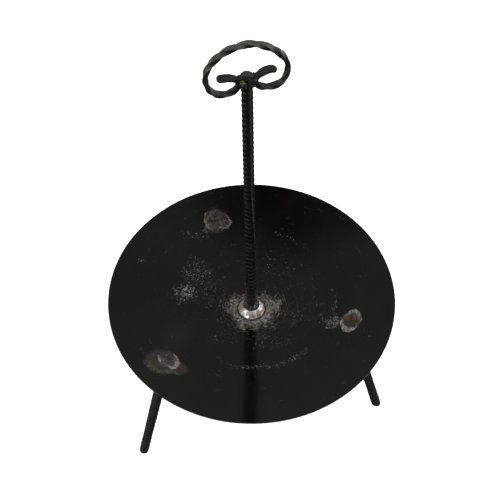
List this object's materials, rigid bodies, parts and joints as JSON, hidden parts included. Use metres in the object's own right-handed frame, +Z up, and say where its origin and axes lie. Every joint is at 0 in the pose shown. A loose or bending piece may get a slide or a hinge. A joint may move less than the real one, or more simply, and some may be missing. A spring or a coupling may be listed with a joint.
{
  "type": "portable hearth plate stand",
  "caption": "Round dished steel hearth plate on three splayed ribbed bar legs, with a central ribbed post and a twisted ring handle.",
  "frame": {"origin": "on the floor, under the centre of the dished plate's rim", "axes": "+Z up along the post; +Y away from the side between the left and right legs, towards the back leg; +X to the right"},
  "size_m": [0.4064, 0.4064, 0.7253],
  "materials": {
    "blackened_plate": "glossy black, oil-blackened and heat-marked",
    "bright_collar": "ground bright",
    "black_bar": "satin black",
    "forged_bar": "forged and waxed, dark olive brown",
    "weld_metal": "rough weld bead"
  },
  "bodies": {
    "root": {"dish_plate": "blackened_plate", "centre_collar": "bright_collar", "post": "black_bar", "post_foot_weld": "weld_metal", "post_root_weld": "weld_metal", "ring_handle": "forged_bar", "handle_weld_left": "weld_metal", "handle_weld_right": "weld_metal", "leg_left": "black_bar", "leg_weld_left": "weld_metal", "leg_right": "black_bar", "leg_weld_right": "weld_metal", "leg_back": "black_bar", "leg_weld_back": "weld_metal"}
  },
  "joints": []
}
